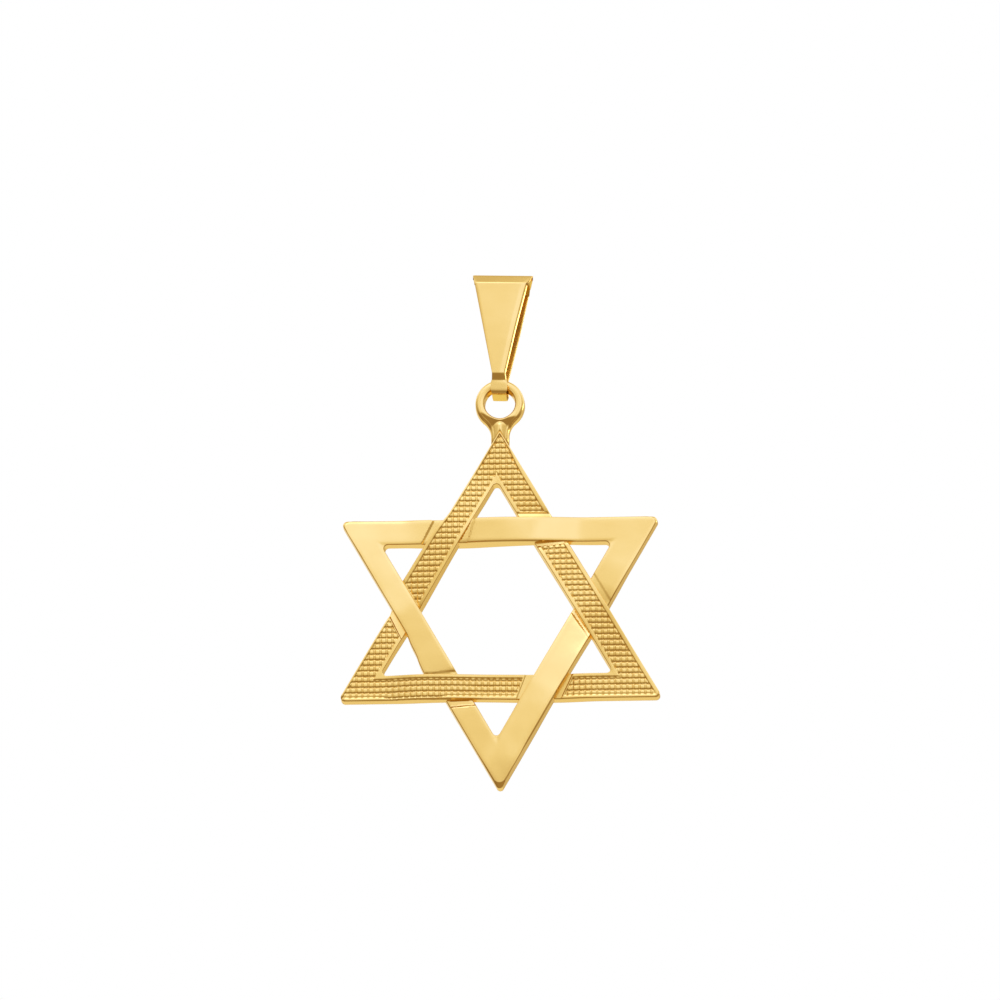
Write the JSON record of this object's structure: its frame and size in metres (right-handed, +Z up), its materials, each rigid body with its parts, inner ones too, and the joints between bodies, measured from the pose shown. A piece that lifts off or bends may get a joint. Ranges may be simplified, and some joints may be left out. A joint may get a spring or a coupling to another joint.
{
  "type": "star of david pendant",
  "caption": "Star of David pendant of interlaced triangles, grained and polished, on a ring that swings in a tapered strip bail.",
  "frame": {"origin": "the chain's seat, the middle of the bail's inner top, where the pendant hangs", "axes": "+Z up, out of the bail's top; the front of the star faces -Y; +X to the right seen from the front"},
  "size_m": [0.0254, 0.0034, 0.0428],
  "materials": {
    "cast_gold": "yellow gold, one triangle with a fine square grain, the other polished",
    "polished_gold": "yellow gold, polished"
  },
  "bodies": {
    "bail": {"bail": "polished_gold"},
    "star": {"star": "cast_gold"}
  },
  "joints": [
    {"name": "swing", "type": "hinge", "parent": "bail", "child": "star", "pos_m": [-0.0003, 0, -0.00874], "axis": [1, 0, 0], "range_deg": [-110, 110]}
  ]
}
